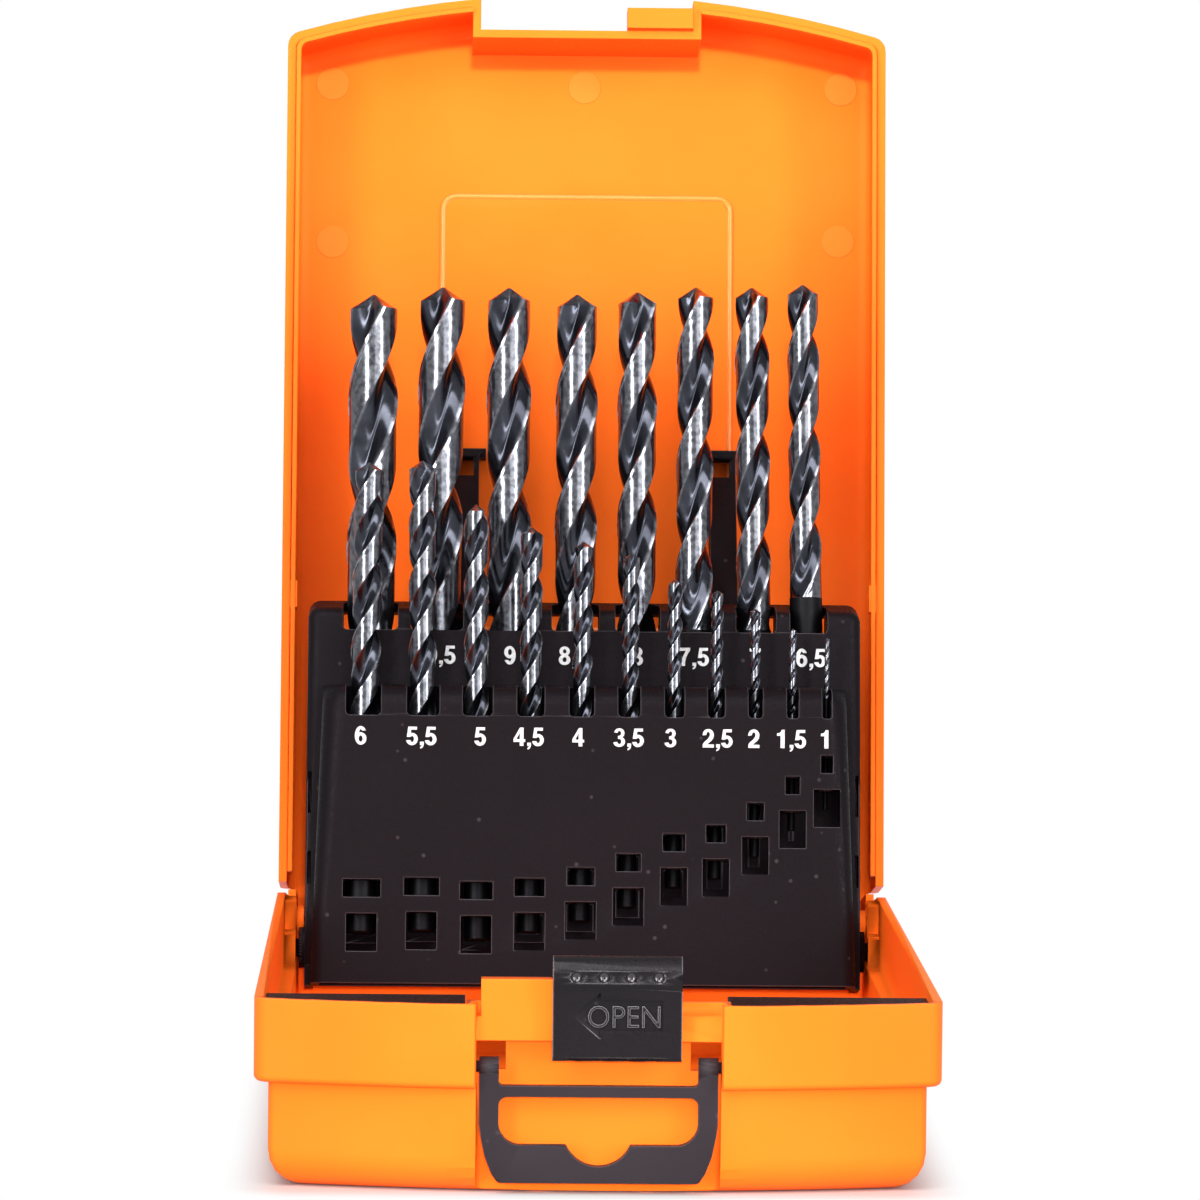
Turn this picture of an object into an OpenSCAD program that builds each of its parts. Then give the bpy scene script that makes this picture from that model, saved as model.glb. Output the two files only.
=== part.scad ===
// Drill bit case, standing open: a moulded base and lid, a tilting holder with
// two rows of twist drills, a sliding latch and a fold-out carry handle.
// Origin: middle of the base's underside. +X right, +Y to the hinge, +Z up.

/* [Case] */
// Width over the band of the base, and of the lid
case_w = 120.5; // [120:0.1:121.5]
// Length from the middle of the bowed front to the hinge end
case_l = 192.8; // [191:0.1:198]
// Height of the base
base_h = 33.5; // [33.2:0.1:34]
// Height of the lid
lid_h = 22; // [22:0.1:26]
// Thickness of the orange walls
wall = 1.6; // [1.4:0.1:1.8]
// Radius of the bowed front
bow_r = 210; // [200:1:240]
// Underside of the band that runs round the rim of the base
band_z = 18.7; // [18.2:0.1:19]
// How far the body stands back under the band
body_inset = 2.55; // [2.5:0.05:2.7]
// Rounding of the base's bottom edges
foot_r = 6.7; // [5:0.1:7.5]
// Angle that the lid and the holder stand open
open_angle = 100; // [95:1:101]

/* [Holder] */
// Width of the rear tier
holder_w = 109.2; // [108.6:0.1:109.4]
// Height of the front tier above the tilt pin
front_top = 51; // [50:0.5:52]
// Height of the rear tier above the tilt pin
rear_top = 67; // [66.5:0.5:67.5]
// Gap between a drill and its socket
socket_gap = 0.45; // [0.35:0.05:0.5]

/* [Latch and handle] */
// Width of the front pocket that the latch and the handle sit in
pocket_w = 42.8; // [42.6:0.1:43.2]
// Width of the sliding latch
latch_w = 22.5; // [22:0.1:23]
// Travel of the latch from open to locked
latch_travel = 6.6; // [6:0.1:6.8]
// Thickness of the carry handle
handle_t = 2.4; // [2.2:0.1:2.6]

/* [Hidden] */

orange = [1, 0.5, 0.08];
black = [0.16, 0.15, 0.16];
handle_grey = [0.27, 0.26, 0.27];
drill_steel = [0.2, 0.21, 0.23];

eps = 0.01;
front_y = -case_l / 2;
rear_y = case_l / 2;
bow_y = front_y + bow_r;                 // centre of the bowed front
corner_r = 3;
lid_edge_r = 4.5;

// Hinge of the lid: the base's rear edge is a barrel round it
barrel_r = 5.2;
hinge_y = rear_y - barrel_r;
hinge_z = base_h - barrel_r;
barrel_gap = 0.4;
ear_x = 54.95;                           // inner face of the lid's ears
ear_t = 1.3;
ear_r = 2.6;
hinge_pin_r = 1.5;
lug_x = 56.5;                            // inner face of the base's hinge lugs
fork_gap = 0.06;
tail = 7.8;                              // the lid's full width ends this far before the hinge
tail_w = case_w - 3.9;                   // width of the lid from there to its end

// Tilt pin of the holder
tilt_y = hinge_y - 5.3;
tilt_z = hinge_z - 5.1;
tilt_pin_r = 1.8;
boss_r = 4;
lean = open_angle - 90;

// Front pocket, rail and tower
pocket_y = front_y + 7.4;
mouth_r = 2.2;                           // rounding beside the pocket
rail_y = front_y + 3;
rail_z0 = 27.1;
rail_z1 = 31.3;
tower_z = 37.8;
tower_x1 = 7.8;
tab_x0 = 8.1;
tab_gap = 0.3;
lid_gap = 0.3;                           // lid's walls stand clear of the tower by this
rim_gap = 0.05;                          // between the rims of the closed case

// Handle
handle_w = 41.6;
handle_pin_r = 1;
handle_y = rail_y + 0.5 + handle_t / 2;
handle_z = 22.4;
handle_barrel_r = 1.7;
handle_bottom = 2.1;

// Holder, in its own frame: x, back from the tilt pin, up from the tilt pin
plate_b = -18.5;
tier_b = -8.5;
back_b = 5.7;
holder_bottom = -8;
front_row_b = -13;
rear_row_b = -1.4;
notch_front = 44.5;
notch_rear = 62.4;
socket_floor = 1.8;
tube_wall = 0.9;
foot_gap = 0.1;                          // room for a leaning drill's foot
socket_depth = 90;                       // cuts from the foot out through the top

// Drills: diameter, overall length, flute length, socket's x, foot's height, sideways lean
rear_row = [
    [10, 133, 87, -42.3, -2.8, 0], [9.5, 125, 81, -29.2, 6.8, 0.4], [9, 125, 81, -14.9, 6.8, -0.3],
    [8.5, 117, 75, -1.8, 13.6, 0], [8, 117, 75, 10.5, 14.2, -0.2], [7.5, 109, 69, 21.7, 23.3, 0.1],
    [7, 109, 69, 33.9, 23.3, -0.6], [6.5, 101, 63, 44.3, 32, -0.8]
];
front_row = [
    [6, 93, 57, -43.4, 2, 0.6], [5.5, 93, 57, -31.7, 2.4, -0.5], [5, 86, 52, -21, 0.8, -0.6],
    [4.5, 80, 47, -10.6, 2.4, 0], [4, 75, 43, -0.6, 4.6, 0.3], [3.5, 70, 39, 8.7, 7.4, 0.5],
    [3, 61, 33, 17.6, 11.4, 0.2], [2.5, 57, 30, 25.8, 13.2, 0.4], [2, 49, 24, 33.5, 17.6, 0.1],
    [1.5, 40, 18, 40.8, 22.8, 0.4], [1, 34, 12, 47.5, 27, 0.6]
];
helix_angle = 28;
point_angle = 118;

// ---- plan shapes -------------------------------------------------------------

// Points of the case's outline, drawn in by inset, and by rear at the hinge end: bow, then the corners
function arc_points(centre, r, from, to) =
    [for (k = [0 : 4]) let (a = from + (to - from) * k / 4) centre + [r * sin(a), -r * cos(a)]];

function outline(inset, rear) =
    let (
        r = max(corner_r - inset / 2, 1.2),
        x = case_w / 2 - inset - r,
        reach = bow_r - inset - r,
        splay = asin(x / reach),
        corner_y = bow_y - reach * cos(splay),
        back_y = rear_y - rear - r
    )
    concat(
        [for (k = [1 : 15]) let (a = splay * (k / 8 - 1))
            [(bow_r - inset) * sin(a), bow_y - (bow_r - inset) * cos(a)]],
        arc_points([x, corner_y], r, splay, 90),
        arc_points([x, back_y], r, 90, 180),
        arc_points([-x, back_y], r, 180, 270),
        arc_points([-x, corner_y], r, 270, 360 - splay)
    );

module plan(inset) {
    polygon(outline(inset, inset));
}

// Solid block of the case between two heights, with its lower edges rounded
module rounded_block(inset, rear, z0, z1, edge) {
    levels = concat(
        [for (turn = [90 : -18 : 0]) [edge * (1 - cos(turn)), z0 + edge * (1 - sin(turn))]],
        [[0, z1]]
    );
    n = len(outline(inset, rear));
    top = len(levels) - 1;
    polyhedron(
        points = [for (level = levels) for (p = outline(inset + level[0], rear + level[0]))
            [p[0], p[1], level[1]]],
        faces = concat(
            [[for (i = [0 : n - 1]) i]],
            [[for (i = [n - 1 : -1 : 0]) top * n + i]],
            [for (k = [0 : top - 1]) for (i = [0 : n - 1]) let (a = k * n + i, b = k * n + (i + 1) % n)
                [a, a + n, b + n]],
            [for (k = [0 : top - 1]) for (i = [0 : n - 1]) let (a = k * n + i, b = k * n + (i + 1) % n)
                [a, b + n, b]]
        )
    );
}

module across(x0, x1) {
    translate([x0, 0, 0]) rotate([90, 0, 90]) linear_extrude(x1 - x0) children();
}

module rod(x0, x1, y, z, r) {
    translate([x0, y, z]) rotate([0, 90, 0]) cylinder(r = r, h = x1 - x0, $fn = 48);
}

module box(x0, x1, y0, y1, z0, z1) {
    translate([x0, y0, z0]) cube([x1 - x0, y1 - y0, z1 - z0]);
}

// ---- base --------------------------------------------------------------------

module base_outside() {
    difference() {
        union() {
            rounded_block(body_inset, 0, 0, band_z + 1, foot_r);
            rounded_block(0, 0, band_z, base_h, 1.2);
        }
        // the pocket that the latch and the handle sit in, its mouth rounded
        box(-pocket_w / 2, pocket_w / 2, front_y - 1, pocket_y, -1, base_h + 1);
        for (side = [0, 1]) mirror([side, 0, 0]) translate([0, 0, -1]) linear_extrude(base_h + 2) difference() {
            translate([pocket_w / 2 - eps, front_y - 1]) square([mouth_r, mouth_r + 1]);
            translate([pocket_w / 2 + mouth_r, front_y + mouth_r + 0.05]) circle(r = mouth_r, $fn = 48);
        }
        base_rear_cut();
    }
}

// Rounds the rear end of the rim about the hinge pin
module base_rear_cut() {
    across(-case_w, case_w) difference() {
        translate([hinge_y, hinge_z]) square(barrel_r + 1);
        translate([hinge_y, hinge_z]) circle(r = barrel_r, $fn = 64);
    }
}

module base_inside() {
    difference() {
        union() {
            rounded_block(body_inset + wall, wall, wall + 0.2, band_z + 2, foot_r - wall);
            translate([0, 0, band_z + wall]) linear_extrude(base_h) plan(wall);
        }
        box(-pocket_w / 2 - wall, pocket_w / 2 + wall, front_y - 1, pocket_y + wall, -1, 2 * base_h);
    }
}

module hinge_lug() {
    difference() {
        across(lug_x, case_w / 2 - wall + 0.3) union() {
            translate([tilt_y - 3.6, band_z + 1]) square([hinge_y + 4.2 - tilt_y + 3.6, 6.3]);
            translate([hinge_y - 4.2, band_z + 1]) square([2.6, 12.2]);
            translate([hinge_y + 1.8, band_z + 1]) square([2.4, 11.4]);
            translate([hinge_y - 2.9, hinge_z + 3.6]) circle(r = 1.3, $fn = 32);
            translate([tilt_y, tilt_z]) circle(r = 3.6, $fn = 48);
            translate([hinge_y, hinge_z]) circle(r = 3.3, $fn = 48);
        }
        rod(lug_x - 1, case_w / 2 - wall, hinge_y, hinge_z, hinge_pin_r + fork_gap);
        rod(lug_x - 1, case_w / 2 - wall, tilt_y, tilt_z, tilt_pin_r + fork_gap);
        // the fork's mouth, a little narrower than the pin that snaps in
        box(lug_x - 1, case_w / 2 - wall, hinge_y - 1.3, hinge_y + 1.3, hinge_z, base_h);
    }
}

// Rail that the latch slides on, and the tower that it wraps
module latch_rail() {
    half = pocket_w / 2;
    box(-half, half, rail_y, pocket_y + eps, rail_z0, rail_z1);
    box(-half + 0.8, tower_x1, rail_y, pocket_y + eps, rail_z1 - eps, base_h - lid_gap);
    box(-half + 0.8, tower_x1, rail_y, pocket_y - lid_gap, base_h - 1, tower_z);
}

module base_shell() {
    color(orange) difference() {
        union() {
            difference() {
                base_outside();
                base_inside();
            }
            latch_rail();
            for (side = [0, 1]) mirror([side, 0, 0]) hinge_lug();
        }
        // slots that let the lid's ears swing back through the rear wall
        for (side = [0, 1]) mirror([side, 0, 0])
            box(ear_x - 0.4, lug_x, hinge_y - 1, rear_y + 1, hinge_z - 4.6, base_h + 1);
        // blind holes for the handle's pins, and the windows behind its arms
        for (side = [-1, 1]) {
            rod(side * (pocket_w / 2 + 0.6) - 0.9, side * (pocket_w / 2 + 0.6) + 0.9,
                handle_y, handle_z, handle_pin_r + fork_gap);
            box(side * 18.8 - 2.7, side * 18.8 + 2.6, pocket_y - 1, pocket_y + wall + 1,
                rail_z0 - 5.6, rail_z0 - eps);
        }
    }
}

// Black strip clipped behind the front wall, beyond the drills' tips
module tip_guard() {
    top = base_h - 1.7;
    color(black) for (side = [0, 1]) mirror([side, 0, 0]) {
        difference() {
            intersection() {
                box(pocket_w / 2 + wall + 0.3, case_w / 2, front_y, front_y + 31, band_z + wall, top);
                translate([0, 0, band_z + wall]) linear_extrude(base_h) plan(wall + 0.1);
            }
            translate([0, 0, -1.4]) intersection() {
                box(pocket_w / 2 + wall + 1.6, case_w / 2, front_y, front_y + 29.7, band_z, top);
                linear_extrude(base_h) plan(wall + 1.5);
            }
        }
    }
}

// ---- lid ---------------------------------------------------------------------

// The lid's block, right way up for the closed case, down to this far over the base
module lid_block(inset, top, over) {
    translate([0, 0, base_h + top]) mirror([0, 0, 1])
        rounded_block(inset, inset, 0, top - over, lid_edge_r - inset);
}

module lid_body(inset, top, over) {
    intersection() {
        lid_block(inset, top, over);
        union() {
            box(-case_w, case_w, -case_l, hinge_y - tail + inset, 0, 3 * base_h);
            box(-tail_w / 2 + inset, tail_w / 2 - inset, -case_l, case_l, 0, 3 * base_h);
        }
    }
}

// Notch in the lid's front for the latch, and the wall that closes it
module lid_front_notch(grow, z1) {
    half = pocket_w / 2 + grow;
    box(-half, half, front_y - 1, pocket_y + grow, base_h - 2, z1);
}

// The lip that slips inside the base's rim
module lid_lip() {
    reach = 1.2;
    difference() {
        union() {
            translate([0, 0, base_h - reach]) linear_extrude(reach + 1) difference() {
                plan(wall + 0.25);
                plan(wall + 1.1);
            }
            translate([0, 0, base_h + 0.9]) linear_extrude(1) difference() {
                plan(wall - eps);
                plan(wall + 1.1);
            }
        }
        box(-case_w, case_w, hinge_y - tail - 2, case_l, 0, 2 * base_h);
        lid_front_notch(wall, 2 * base_h);
    }
    // thin ribs inside the long sides, and catch bumps halfway along them
    for (side = [-1, 1])
        box(side * (case_w / 2 - 2) - 0.6, side * (case_w / 2 - 2) + 0.6,
            hinge_y - 175, hinge_y - 120.5, base_h + 1, base_h + 2.2);
    for (side = [-1, 1])
        box(side * (case_w / 2 - 2.4) - 0.7, side * (case_w / 2 - 2.4) + 0.7,
            hinge_y - 68, hinge_y - 62.6, base_h - 1, base_h + 2.4);
}

module lid_ear() {
    across(ear_x, ear_x + ear_t) union() {
        translate([hinge_y, hinge_z]) circle(r = ear_r, $fn = 48);
        translate([hinge_y - ear_r, hinge_z]) square([2 * ear_r, 9]);
    }
    across(ear_x, tail_w / 2 - eps) translate([hinge_y - ear_r, hinge_z + 6.2]) square([2 * ear_r, 3]);
    rod(ear_x + ear_t - eps, case_w / 2 - wall - 0.5, hinge_y, hinge_z, hinge_pin_r);
}

module closed_lid() {
    pad_h = 0.6;
    difference() {
        union() {
            difference() {
                lid_body(0, lid_h, rim_gap);
                difference() {
                    lid_body(wall, lid_h - wall - 0.4, 0);
                    lid_front_notch(wall, 2 * base_h);
                }
                lid_front_notch(0, base_h + lid_h + 1);
            }
            // the rear wall's lower edge curls in over the barrel
            across(-tail_w / 2 + eps, tail_w / 2 - eps) polygon([
                [hinge_y - 1.6, hinge_z + 5.4], [hinge_y, hinge_z + 5.4], [rear_y - eps, hinge_z + 6.9],
                [rear_y - eps, hinge_z + 8.6], [hinge_y, hinge_z + 7.2], [hinge_y - 1.6, hinge_z + 7.2]
            ]);
            lid_lip();
            // tab that the latch holds down
            box(tab_x0, pocket_w / 2 - 0.1, rail_y, pocket_y - lid_gap, rail_z1 + tab_gap, tower_z - tab_gap);
            box(tab_x0, pocket_w / 2 - 0.1, rail_y, pocket_y + eps, base_h + 0.3, tower_z - tab_gap);
            // raised panel that the holder's arms slide on
            translate([0, hinge_y - 103, base_h + lid_h - wall - 0.4 - pad_h])
                linear_extrude(pad_h + eps) offset(r = 2.2, $fn = 24) square([54, 88], center = true);
        }
        // swing clearance round the base's barrel
        rod(-case_w, case_w, hinge_y, hinge_z, barrel_r + barrel_gap);
        across(-case_w, case_w) polygon([
            [hinge_y, hinge_z + 4], [hinge_y, hinge_z + barrel_r + barrel_gap],
            [rear_y + 2, hinge_z + 7.4], [rear_y + 2, hinge_z + 4]
        ]);
    }
    for (side = [0, 1]) mirror([side, 0, 0]) lid_ear();
}

module lid_shell() {
    color(orange) translate([0, hinge_y, hinge_z]) rotate([-open_angle, 0, 0])
        translate([0, -hinge_y, -hinge_z]) closed_lid();
}

// ---- holder ------------------------------------------------------------------

// Stands a piece of the holder, drawn about the tilt pins, back on them
module on_holder() {
    color(black) translate([0, tilt_y, tilt_z]) rotate([-lean, 0, 0]) children();
}

module front_tier() {
    top_half = 51.5;
    foot_half = 53.3;
    hull() {
        for (side = [-1, 1]) {
            translate([side * (foot_half - 2.5), plate_b + 2.5, holder_bottom])
                cylinder(r = 2.5, h = 2, $fn = 32);
            translate([side * (top_half - 4.5), plate_b + 4.5, front_top - 4.5]) sphere(r = 4.5, $fn = 32);
        }
        box(-top_half, top_half, tier_b - 1, tier_b, front_top - 5, front_top);
        box(-foot_half, foot_half, tier_b - 1, tier_b, holder_bottom, holder_bottom + 2);
    }
}

module rear_tier() {
    r = 2.4;
    half = holder_w / 2;
    hull() {
        for (side = [-1, 1]) {
            translate([side * (half - r), tier_b + r, rear_top - r]) sphere(r = r, $fn = 24);
            translate([side * (half - r), back_b - r, rear_top + 2.3 - r]) sphere(r = r, $fn = 24);
        }
        box(-half, half, tier_b, 2, holder_bottom, holder_bottom + 1);
        box(-half, half, tier_b, back_b, holder_bottom + 2.4, holder_bottom + 4);
    }
}

// Tube that a drill stands in, closed below
module tube(drill, b, top) {
    low = drill[4] - socket_floor;
    translate([drill[3], b, low]) cylinder(r = drill[0] / 2 + socket_gap + tube_wall, h = top - low, $fn = 48);
}

module bore(drill, b) {
    translate([drill[3], b, drill[4] - foot_gap]) cylinder(r = drill[0] / 2 + socket_gap, h = socket_depth, $fn = 48);
}

// Opening from front to back with its lower corners rounded
module notch(x, half, b0, b1, z0, z1) {
    r = min(0.9, half * 0.6);
    translate([x, b1, z0]) rotate([90, 0, 0]) linear_extrude(b1 - b0) {
        translate([-half, r]) square([2 * half, z1 - z0 - r]);
        translate([r - half, 0]) square([2 * (half - r), r + eps]);
        for (side = [-1, 1]) translate([side * (half - r), r]) circle(r = r, $fn = 24);
    }
}

// A front drill's notch, and its two windows, which step up with the drill's foot
module front_cuts(drill) {
    d = drill[0];
    x = drill[3];
    low = max(drill[4] - 3.8, -2.1);
    low_half = d > 3.2 ? 3 : 2.6;
    up_half = max(d / 2 + 0.7, 0.9);
    box(x - low_half, x + low_half, plate_b - 1, front_row_b + 2, low, low + 7.4);
    box(x - up_half, x + up_half, plate_b - 1, front_row_b + 2, low + 10.6, low + 14.1);
    notch(x, d / 2 + socket_gap, plate_b - 1, front_row_b, notch_front, front_top + 1);
}

// A rear drill's notch, and the window behind it under the strap
module rear_cuts(drill) {
    half = drill[0] / 2 + socket_gap;
    x = drill[3];
    notch(x, half, tier_b - 1, rear_row_b, notch_rear, rear_top + 4);
    box(x - half, x + half, rear_row_b, back_b + 1, rear_top - 11, rear_top - 0.2);
}

// Lower tier: a box open behind and below, with its sockets hanging from the top
module front_rack() {
    on_holder() difference() {
        union() {
            difference() {
                front_tier();
                hull() {
                    box(-49.6, 49.6, plate_b + wall, tier_b + 1, front_top - 8, front_top - 2.4);
                    box(-51.6, 51.6, plate_b + wall, tier_b + 1, holder_bottom - 1, holder_bottom);
                }
            }
            for (drill = front_row) tube(drill, front_row_b, front_top - 1);
            box(-50, 50, front_row_b - 0.6, front_row_b + 0.6, front_top - 15, front_top - 1);
        }
        for (drill = front_row) {
            bore(drill, front_row_b);
            front_cuts(drill);
        }
    }
}

// Upper tier, which tilts on the base's lugs
module bit_holder() {
    half = holder_w / 2;
    on_holder() difference() {
        union() {
            difference() {
                rear_tier();
                box(wall - half, half - wall, tier_b + 1.4, back_b - 1.4, holder_bottom - 1, rear_top - 2.2);
            }
            for (drill = rear_row) tube(drill, rear_row_b, rear_top - 1);
            for (side = [-1, 1]) {
                rod(side * (half + 0.6) - 0.6 - eps, side * (half + 0.6) + 0.6, 0, 0, boss_r);
                rod(side * 56.4 - 1.9, side * 56.4 + 1.9, 0, 0, tilt_pin_r);
            }
        }
        for (drill = rear_row) {
            bore(drill, rear_row_b);
            rear_cuts(drill);
        }
        // narrow core slots down the shoulders
        for (side = [-1, 1], low = [12, 26])
            box(side * 53.9 - 0.35, side * 53.9 + 0.35, tier_b - 1, tier_b + 3, low, low + 5 + low / 8);
    }
}

// Arm that presses the holder down when the lid is shut and props it when open
module prop_arm(x0, bar_x0, bar_x1) {
    arm_w = 5.4;
    foot_b = 28.7;
    foot_top = 103;
    difference() {
        union() {
            across(x0, x0 + arm_w) polygon([
                [back_b, 44], [back_b, 66], [14, 80], [25.4, foot_top], [foot_b, foot_top],
                [foot_b, 93], [24, 86], [11, 54]
            ]);
            box(bar_x0, bar_x1, 24.8, foot_b, foot_top - 2, foot_top);
        }
        box(x0 + 0.8, x0 + 4.3, 18, foot_b + 1, foot_top - 5.8, foot_top - 2);
    }
}

module prop_arms() {
    on_holder() {
        prop_arm(-26.4, -26.6, -19.6);
        prop_arm(25.5, 25.3, 31.4);
    }
}

// ---- latch and handle --------------------------------------------------------

// C-shaped slide: its lips wrap the tower and the rail at its left end only
module latch_slider() {
    x0 = -8.2;
    lip_x1 = tab_x0 - 0.3;
    face_y = front_y + 0.1;
    back_y = rail_y - 0.3;
    z0 = 23.9;
    z1 = 42.1;
    color(black) difference() {
        union() {
            across(x0, x0 + latch_w) polygon([
                [back_y, z0], [face_y + 0.6, z0], [face_y, z0 + 0.8], [face_y, 36.2],
                [face_y - 0.7, 37.2], [face_y - 0.9, 38.6], [face_y - 0.6, 40], [face_y + 0.3, 41.3],
                [face_y + 1.4, z1], [back_y, z1]
            ]);
            // upper lip over the tower, lower lip under the rail
            box(x0, lip_x1, back_y - eps, pocket_y - 0.6, tower_z + 0.3, z1 - 1.6);
            box(x0, lip_x1, back_y - eps, rail_y + 1.8, z0 + 0.8, rail_z0 - 0.3);
        }
        // recessed arrow that points to the open side
        translate([0, face_y - eps, 0]) rotate([90, 0, 0]) translate([0, 0, -0.5]) linear_extrude(1)
            polygon([[-4.7, 31.9], [0.1, 35.9], [0.1, 34.6], [11, 34.6], [11, 29.3], [0.1, 29.3], [0.1, 27.9]]);
        for (i = [0 : 3]) {
            // dimples for the thumb, and nicks along the lower edge
            translate([-4.1 + 4.75 * i, face_y - 1.35, 38.7]) rotate([0, 90, 0]) sphere(r = 1.25, $fn = 24);
            translate([-5.1 + 4.75 * i, face_y - 1, z0 - 0.2]) rotate([-90, 0, 0]) cylinder(r = 0.8, h = 2, $fn = 24);
        }
    }
}

// Front view of the handle, pin line at handle_z
module handle_outline() {
    half = handle_w / 2;
    arm = 3.4;
    difference() {
        offset(r = 1.2, $fn = 24) offset(delta = -1.2) polygon([
            [-half, handle_z], [-half, 12.5], [-half + 0.3, 10.2], [-half + 1, 6.8], [-half + 2.1, 3.9],
            [-half + 3.3, handle_bottom], [half - 3.3, handle_bottom], [half - 2.1, 3.9], [half - 1, 6.8],
            [half - 0.3, 10.2], [half, 12.5], [half, handle_z]
        ]);
        offset(r = 0.8, $fn = 24) offset(delta = -0.8) translate([-half + arm, 19.1]) square([2 * (half - arm), 10]);
        // opening for the fingers, deeper in the middle
        offset(r = 1.5, $fn = 24) offset(delta = -1.5) union() {
            translate([-half + arm, 12]) square([2 * (half - arm), 5.2]);
            translate([-half + arm + 3.5, 8.7]) square([2 * (half - arm - 3.5), 5]);
            for (side = [-1, 1]) translate([side * (half - arm - 3.8), 12.5]) circle(r = 3.8, $fn = 48);
            translate([0, 11.1]) circle(r = 6.1, $fn = 48);
        }
    }
}

module carry_handle() {
    half = handle_w / 2;
    color(handle_grey) {
        translate([0, handle_y + handle_t / 2, 0]) rotate([90, 0, 0]) linear_extrude(handle_t) handle_outline();
        for (side = [-1, 1]) {
            rod(side * (half - 1.7) - 1.7, side * (half - 1.7) + 1.7, handle_y, handle_z, handle_barrel_r);
            rod(side * (half + 0.2) - 0.7, side * (half + 0.2) + 0.7, handle_y, handle_z, handle_pin_r);
        }
    }
}

// ---- drills ------------------------------------------------------------------

// Section of the fluted part, half of it: [part of the radius, angle] over a land and down a flute
flute_profile = [[1, -40], [1, 0], [1, 40], [0.4, 78], [0.36, 112]];

function flute_ring(r, z, turn, depth) = [
    for (half_turn = [0, 180]) for (p = flute_profile)
        let (reach = r * (1 - depth * (1 - p[0])), a = p[1] + half_turn + turn)
            [reach * cos(a), reach * sin(a), z]
];

// Fluted length, from its run-out at the shank to the ground point
module flutes(r, z0, z1) {
    tip_h = r / tan(point_angle / 2);
    lead = 2 * PI * r / tan(helix_angle);
    span = z1 - tip_h - z0;
    steps = ceil(11 * span / lead);
    n = 2 * len(flute_profile);
    polyhedron(
        points = concat(
            [for (k = [0 : steps]) let (h = span * k / steps)
                for (p = flute_ring(r, z0 + h, 360 * h / lead, min(1, h / (2.4 * r)))) p],
            flute_ring(r * 0.1, z1, 360 * span / lead, 1)
        ),
        faces = concat(
            [[for (i = [0 : n - 1]) i]],
            [[for (i = [n - 1 : -1 : 0]) (steps + 1) * n + i]],
            [for (k = [0 : steps]) for (i = [0 : n - 1]) let (a = k * n + i, b = k * n + (i + 1) % n)
                [a, a + n, b + n]],
            [for (k = [0 : steps]) for (i = [0 : n - 1]) let (a = k * n + i, b = k * n + (i + 1) % n)
                [a, b + n, b]]
        )
    );
}

module drill_bit(drill, b) {
    r = drill[0] / 2;
    long = drill[1];
    flute = drill[2];
    rise = r * sin(abs(drill[5])) + 0.02;   // a leaning drill stands on its edge
    lean_h = ((b > tier_b ? rear_top : front_top) - drill[4]) / 2;   // leans about mid-socket
    color(drill_steel) translate([0, tilt_y, tilt_z]) rotate([-lean, 0, 0])
        translate([drill[3], b, drill[4] + rise + lean_h]) rotate([0, drill[5], 0]) translate([0, 0, -lean_h]) {
            cylinder(r = r, h = long - flute, $fn = 48);
            flutes(r * 0.985, long - flute, long);
        }
}

base_shell();
tip_guard();
lid_shell();
bit_holder();
front_rack();
prop_arms();
latch_slider();
carry_handle();
drill_bit(rear_row[0], rear_row_b);  // bit_10_0
drill_bit(rear_row[1], rear_row_b);  // bit_9_5
drill_bit(rear_row[2], rear_row_b);  // bit_9_0
drill_bit(rear_row[3], rear_row_b);  // bit_8_5
drill_bit(rear_row[4], rear_row_b);  // bit_8_0
drill_bit(rear_row[5], rear_row_b);  // bit_7_5
drill_bit(rear_row[6], rear_row_b);  // bit_7_0
drill_bit(rear_row[7], rear_row_b);  // bit_6_5
drill_bit(front_row[0], front_row_b);  // bit_6_0
drill_bit(front_row[1], front_row_b);  // bit_5_5
drill_bit(front_row[2], front_row_b);  // bit_5_0
drill_bit(front_row[3], front_row_b);  // bit_4_5
drill_bit(front_row[4], front_row_b);  // bit_4_0
drill_bit(front_row[5], front_row_b);  // bit_3_5
drill_bit(front_row[6], front_row_b);  // bit_3_0
drill_bit(front_row[7], front_row_b);  // bit_2_5
drill_bit(front_row[8], front_row_b);  // bit_2_0
drill_bit(front_row[9], front_row_b);  // bit_1_5
drill_bit(front_row[10], front_row_b);  // bit_1_0
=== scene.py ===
import bpy
import math
from mathutils import Matrix, Vector


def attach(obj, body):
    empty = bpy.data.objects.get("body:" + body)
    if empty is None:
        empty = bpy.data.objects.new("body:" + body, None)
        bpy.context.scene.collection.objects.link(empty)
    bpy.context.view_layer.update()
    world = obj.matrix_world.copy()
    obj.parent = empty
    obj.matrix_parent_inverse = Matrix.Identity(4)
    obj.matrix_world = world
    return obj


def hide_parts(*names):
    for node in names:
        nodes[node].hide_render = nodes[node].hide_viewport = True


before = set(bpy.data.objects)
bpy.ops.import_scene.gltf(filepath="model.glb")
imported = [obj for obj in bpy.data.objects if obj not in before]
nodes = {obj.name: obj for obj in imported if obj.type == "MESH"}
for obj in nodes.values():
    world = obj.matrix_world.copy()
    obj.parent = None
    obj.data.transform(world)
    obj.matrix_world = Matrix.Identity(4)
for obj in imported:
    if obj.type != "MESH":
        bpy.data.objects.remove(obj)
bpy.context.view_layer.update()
mm = 0.001

# place of the holder, in mm and degrees
caseSet = {
    "tilt": (85.9, 23.2),        # y, z of the holder's pins
    "lean": 10,                  # how far the holder stands back
}
leanTurn = Matrix.Rotation(math.radians(-caseSet["lean"]), 4, "X")
holderPlace = Matrix.Translation((0, caseSet["tilt"][0] * mm, caseSet["tilt"][1] * mm)) @ leanTurn


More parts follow.
